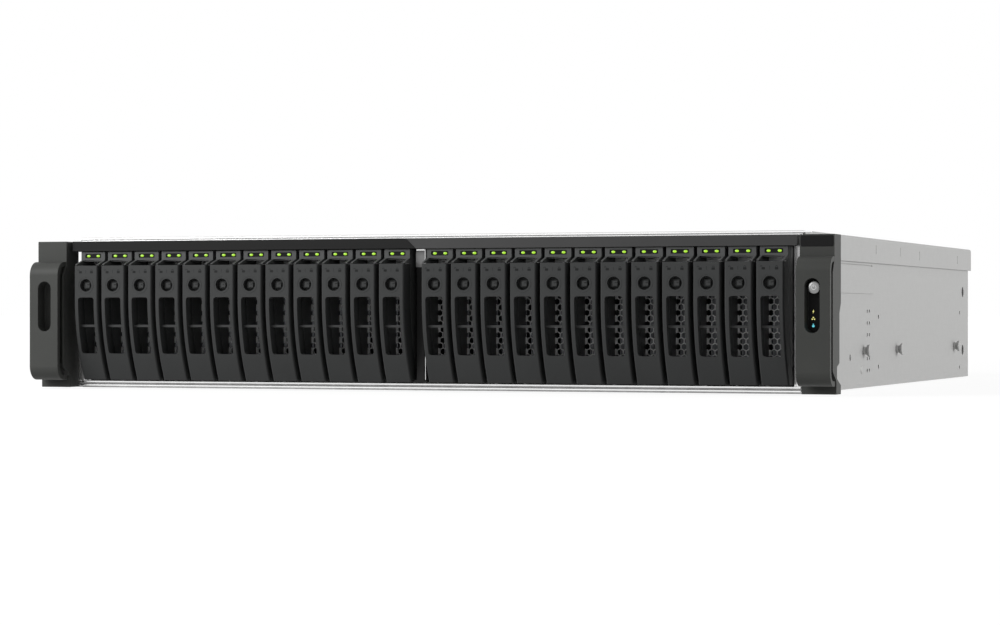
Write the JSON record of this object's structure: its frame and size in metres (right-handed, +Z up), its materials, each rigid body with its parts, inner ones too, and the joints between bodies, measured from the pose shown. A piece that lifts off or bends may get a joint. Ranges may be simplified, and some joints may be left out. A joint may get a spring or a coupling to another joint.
{
  "type": "all-flash storage array chassis",
  "caption": "Rack storage chassis two units high: upright solid-state drive trays with curved levers, ears with handle blocks, power button, cover and plug-in power supplies.",
  "frame": {"origin": "centre of the base pan's underside", "axes": "+X to the right seen from the front, +Y from front to back, +Z up"},
  "size_m": [0.4802, 0.5277, 0.0886],
  "materials": {
    "zinc_steel": "galvanised sheet, satin",
    "bright_steel": "bright plated sheet",
    "trim_plastic": "fine moulded texture",
    "ear_plastic": "fine moulded texture",
    "button_cap": "satin metallised",
    "tray_plastic": "fine moulded texture",
    "lever_plastic": "fine moulded texture",
    "circuit_board": "solder mask",
    "fan_plastic": "moulded",
    "supply_case": "satin"
  },
  "bodies": {
    "chassis": {"chassis_base": "zinc_steel", "drive_cage": "bright_steel", "front_trim": "trim_plastic", "left_ear": "ear_plastic", "right_ear": "ear_plastic", "backplane": "circuit_board", "fan_wall": "fan_plastic", "main_board": "circuit_board"},
    "cover": {"top_cover": "zinc_steel"},
    "button": {"power_button": "button_cap"},
    "supply_1": {"power_supply_1": "supply_case"},
    "supply_2": {"power_supply_2": "supply_case"},
    "tray_01": {"tray_01": "tray_plastic"},
    "lever_01": {"lever_01": "lever_plastic"},
    "tray_02": {"tray_02": "tray_plastic"},
    "lever_02": {"lever_02": "lever_plastic"},
    "tray_03": {"tray_03": "tray_plastic"},
    "lever_03": {"lever_03": "lever_plastic"},
    "tray_04": {"tray_04": "tray_plastic"},
    "lever_04": {"lever_04": "lever_plastic"},
    "tray_05": {"tray_05": "tray_plastic"},
    "lever_05": {"lever_05": "lever_plastic"},
    "tray_06": {"tray_06": "tray_plastic"},
    "lever_06": {"lever_06": "lever_plastic"},
    "tray_07": {"tray_07": "tray_plastic"},
    "lever_07": {"lever_07": "lever_plastic"},
    "tray_08": {"tray_08": "tray_plastic"},
    "lever_08": {"lever_08": "lever_plastic"},
    "tray_09": {"tray_09": "tray_plastic"},
    "lever_09": {"lever_09": "lever_plastic"},
    "tray_10": {"tray_10": "tray_plastic"},
    "lever_10": {"lever_10": "lever_plastic"},
    "tray_11": {"tray_11": "tray_plastic"},
    "lever_11": {"lever_11": "lever_plastic"},
    "tray_12": {"tray_12": "tray_plastic"},
    "lever_12": {"lever_12": "lever_plastic"},
    "tray_13": {"tray_13": "tray_plastic"},
    "lever_13": {"lever_13": "lever_plastic"},
    "tray_14": {"tray_14": "tray_plastic"},
    "lever_14": {"lever_14": "lever_plastic"},
    "tray_15": {"tray_15": "tray_plastic"},
    "lever_15": {"lever_15": "lever_plastic"},
    "tray_16": {"tray_16": "tray_plastic"},
    "lever_16": {"lever_16": "lever_plastic"},
    "tray_17": {"tray_17": "tray_plastic"},
    "lever_17": {"lever_17": "lever_plastic"},
    "tray_18": {"tray_18": "tray_plastic"},
    "lever_18": {"lever_18": "lever_plastic"},
    "tray_19": {"tray_19": "tray_plastic"},
    "lever_19": {"lever_19": "lever_plastic"},
    "tray_20": {"tray_20": "tray_plastic"},
    "lever_20": {"lever_20": "lever_plastic"},
    "tray_21": {"tray_21": "tray_plastic"},
    "lever_21": {"lever_21": "lever_plastic"},
    "tray_22": {"tray_22": "tray_plastic"},
    "lever_22": {"lever_22": "lever_plastic"},
    "tray_23": {"tray_23": "tray_plastic"},
    "lever_23": {"lever_23": "lever_plastic"},
    "tray_24": {"tray_24": "tray_plastic"},
    "lever_24": {"lever_24": "lever_plastic"}
  },
  "joints": [
    {"name": "cover_slide", "type": "slide", "parent": "chassis", "child": "cover", "axis": [0, 1, 0], "range_m": [0, 0.016]},
    {"name": "button_press", "type": "slide", "parent": "chassis", "child": "button", "axis": [0, 1, 0], "range_m": [0, 0.0015], "stiffness_N_per_m": 400, "springref_m": -0.001},
    {"name": "supply_1_slide", "type": "slide", "parent": "chassis", "child": "supply_1", "axis": [0, 1, 0], "range_m": [0, 0.18]},
    {"name": "supply_2_slide", "type": "slide", "parent": "chassis", "child": "supply_2", "axis": [0, 1, 0], "range_m": [0, 0.18]},
    {"name": "tray_slide_01", "type": "slide", "parent": "chassis", "child": "tray_01", "axis": [0, -1, 0], "range_m": [0, 0.12]},
    {"name": "lever_hinge_01", "type": "hinge", "parent": "tray_01", "child": "lever_01", "pos_m": [-0.20581, -0.243, 0.009], "axis": [1, 0, 0], "range_deg": [0, 55]},
    {"name": "tray_slide_02", "type": "slide", "parent": "chassis", "child": "tray_02", "axis": [0, -1, 0], "range_m": [0, 0.12]},
    {"name": "lever_hinge_02", "type": "hinge", "parent": "tray_02", "child": "lever_02", "pos_m": [-0.18828, -0.243, 0.009], "axis": [1, 0, 0], "range_deg": [0, 55]},
    {"name": "tray_slide_03", "type": "slide", "parent": "chassis", "child": "tray_03", "axis": [0, -1, 0], "range_m": [0, 0.12]},
    {"name": "lever_hinge_03", "type": "hinge", "parent": "tray_03", "child": "lever_03", "pos_m": [-0.17075, -0.243, 0.009], "axis": [1, 0, 0], "range_deg": [0, 55]},
    {"name": "tray_slide_04", "type": "slide", "parent": "chassis", "child": "tray_04", "axis": [0, -1, 0], "range_m": [0, 0.12]},
    {"name": "lever_hinge_04", "type": "hinge", "parent": "tray_04", "child": "lever_04", "pos_m": [-0.15321, -0.243, 0.009], "axis": [1, 0, 0], "range_deg": [0, 55]},
    {"name": "tray_slide_05", "type": "slide", "parent": "chassis", "child": "tray_05", "axis": [0, -1, 0], "range_m": [0, 0.12]},
    {"name": "lever_hinge_05", "type": "hinge", "parent": "tray_05", "child": "lever_05", "pos_m": [-0.13567, -0.243, 0.009], "axis": [1, 0, 0], "range_deg": [0, 55]},
    {"name": "tray_slide_06", "type": "slide", "parent": "chassis", "child": "tray_06", "axis": [0, -1, 0], "range_m": [0, 0.12]},
    {"name": "lever_hinge_06", "type": "hinge", "parent": "tray_06", "child": "lever_06", "pos_m": [-0.11814, -0.243, 0.009], "axis": [1, 0, 0], "range_deg": [0, 55]},
    {"name": "tray_slide_07", "type": "slide", "parent": "chassis", "child": "tray_07", "axis": [0, -1, 0], "range_m": [0, 0.12]},
    {"name": "lever_hinge_07", "type": "hinge", "parent": "tray_07", "child": "lever_07", "pos_m": [-0.1006, -0.243, 0.009], "axis": [1, 0, 0], "range_deg": [0, 55]},
    {"name": "tray_slide_08", "type": "slide", "parent": "chassis", "child": "tray_08", "axis": [0, -1, 0], "range_m": [0, 0.12]},
    {"name": "lever_hinge_08", "type": "hinge", "parent": "tray_08", "child": "lever_08", "pos_m": [-0.08307, -0.243, 0.009], "axis": [1, 0, 0], "range_deg": [0, 55]},
    {"name": "tray_slide_09", "type": "slide", "parent": "chassis", "child": "tray_09", "axis": [0, -1, 0], "range_m": [0, 0.12]},
    {"name": "lever_hinge_09", "type": "hinge", "parent": "tray_09", "child": "lever_09", "pos_m": [-0.06553, -0.243, 0.009], "axis": [1, 0, 0], "range_deg": [0, 55]},
    {"name": "tray_slide_10", "type": "slide", "parent": "chassis", "child": "tray_10", "axis": [0, -1, 0], "range_m": [0, 0.12]},
    {"name": "lever_hinge_10", "type": "hinge", "parent": "tray_10", "child": "lever_10", "pos_m": [-0.048, -0.243, 0.009], "axis": [1, 0, 0], "range_deg": [0, 55]},
    {"name": "tray_slide_11", "type": "slide", "parent": "chassis", "child": "tray_11", "axis": [0, -1, 0], "range_m": [0, 0.12]},
    {"name": "lever_hinge_11", "type": "hinge", "parent": "tray_11", "child": "lever_11", "pos_m": [-0.03046, -0.243, 0.009], "axis": [1, 0, 0], "range_deg": [0, 55]},
    {"name": "tray_slide_12", "type": "slide", "parent": "chassis", "child": "tray_12", "axis": [0, -1, 0], "range_m": [0, 0.12]},
    {"name": "lever_hinge_12", "type": "hinge", "parent": "tray_12", "child": "lever_12", "pos_m": [-0.01293, -0.243, 0.009], "axis": [1, 0, 0], "range_deg": [0, 55]},
    {"name": "tray_slide_13", "type": "slide", "parent": "chassis", "child": "tray_13", "axis": [0, -1, 0], "range_m": [0, 0.12]},
    {"name": "lever_hinge_13", "type": "hinge", "parent": "tray_13", "child": "lever_13", "pos_m": [0.01293, -0.243, 0.009], "axis": [1, 0, 0], "range_deg": [0, 55]},
    {"name": "tray_slide_14", "type": "slide", "parent": "chassis", "child": "tray_14", "axis": [0, -1, 0], "range_m": [0, 0.12]},
    {"name": "lever_hinge_14", "type": "hinge", "parent": "tray_14", "child": "lever_14", "pos_m": [0.03046, -0.243, 0.009], "axis": [1, 0, 0], "range_deg": [0, 55]},
    {"name": "tray_slide_15", "type": "slide", "parent": "chassis", "child": "tray_15", "axis": [0, -1, 0], "range_m": [0, 0.12]},
    {"name": "lever_hinge_15", "type": "hinge", "parent": "tray_15", "child": "lever_15", "pos_m": [0.048, -0.243, 0.009], "axis": [1, 0, 0], "range_deg": [0, 55]},
    {"name": "tray_slide_16", "type": "slide", "parent": "chassis", "child": "tray_16", "axis": [0, -1, 0], "range_m": [0, 0.12]},
    {"name": "lever_hinge_16", "type": "hinge", "parent": "tray_16", "child": "lever_16", "pos_m": [0.06553, -0.243, 0.009], "axis": [1, 0, 0], "range_deg": [0, 55]},
    {"name": "tray_slide_17", "type": "slide", "parent": "chassis", "child": "tray_17", "axis": [0, -1, 0], "range_m": [0, 0.12]},
    {"name": "lever_hinge_17", "type": "hinge", "parent": "tray_17", "child": "lever_17", "pos_m": [0.08307, -0.243, 0.009], "axis": [1, 0, 0], "range_deg": [0, 55]},
    {"name": "tray_slide_18", "type": "slide", "parent": "chassis", "child": "tray_18", "axis": [0, -1, 0], "range_m": [0, 0.12]},
    {"name": "lever_hinge_18", "type": "hinge", "parent": "tray_18", "child": "lever_18", "pos_m": [0.1006, -0.243, 0.009], "axis": [1, 0, 0], "range_deg": [0, 55]},
    {"name": "tray_slide_19", "type": "slide", "parent": "chassis", "child": "tray_19", "axis": [0, -1, 0], "range_m": [0, 0.12]},
    {"name": "lever_hinge_19", "type": "hinge", "parent": "tray_19", "child": "lever_19", "pos_m": [0.11814, -0.243, 0.009], "axis": [1, 0, 0], "range_deg": [0, 55]},
    {"name": "tray_slide_20", "type": "slide", "parent": "chassis", "child": "tray_20", "axis": [0, -1, 0], "range_m": [0, 0.12]},
    {"name": "lever_hinge_20", "type": "hinge", "parent": "tray_20", "child": "lever_20", "pos_m": [0.13567, -0.243, 0.009], "axis": [1, 0, 0], "range_deg": [0, 55]},
    {"name": "tray_slide_21", "type": "slide", "parent": "chassis", "child": "tray_21", "axis": [0, -1, 0], "range_m": [0, 0.12]},
    {"name": "lever_hinge_21", "type": "hinge", "parent": "tray_21", "child": "lever_21", "pos_m": [0.15321, -0.243, 0.009], "axis": [1, 0, 0], "range_deg": [0, 55]},
    {"name": "tray_slide_22", "type": "slide", "parent": "chassis", "child": "tray_22", "axis": [0, -1, 0], "range_m": [0, 0.12]},
    {"name": "lever_hinge_22", "type": "hinge", "parent": "tray_22", "child": "lever_22", "pos_m": [0.17075, -0.243, 0.009], "axis": [1, 0, 0], "range_deg": [0, 55]},
    {"name": "tray_slide_23", "type": "slide", "parent": "chassis", "child": "tray_23", "axis": [0, -1, 0], "range_m": [0, 0.12]},
    {"name": "lever_hinge_23", "type": "hinge", "parent": "tray_23", "child": "lever_23", "pos_m": [0.18828, -0.243, 0.009], "axis": [1, 0, 0], "range_deg": [0, 55]},
    {"name": "tray_slide_24", "type": "slide", "parent": "chassis", "child": "tray_24", "axis": [0, -1, 0], "range_m": [0, 0.12]},
    {"name": "lever_hinge_24", "type": "hinge", "parent": "tray_24", "child": "lever_24", "pos_m": [0.20581, -0.243, 0.009], "axis": [1, 0, 0], "range_deg": [0, 55]}
  ]
}
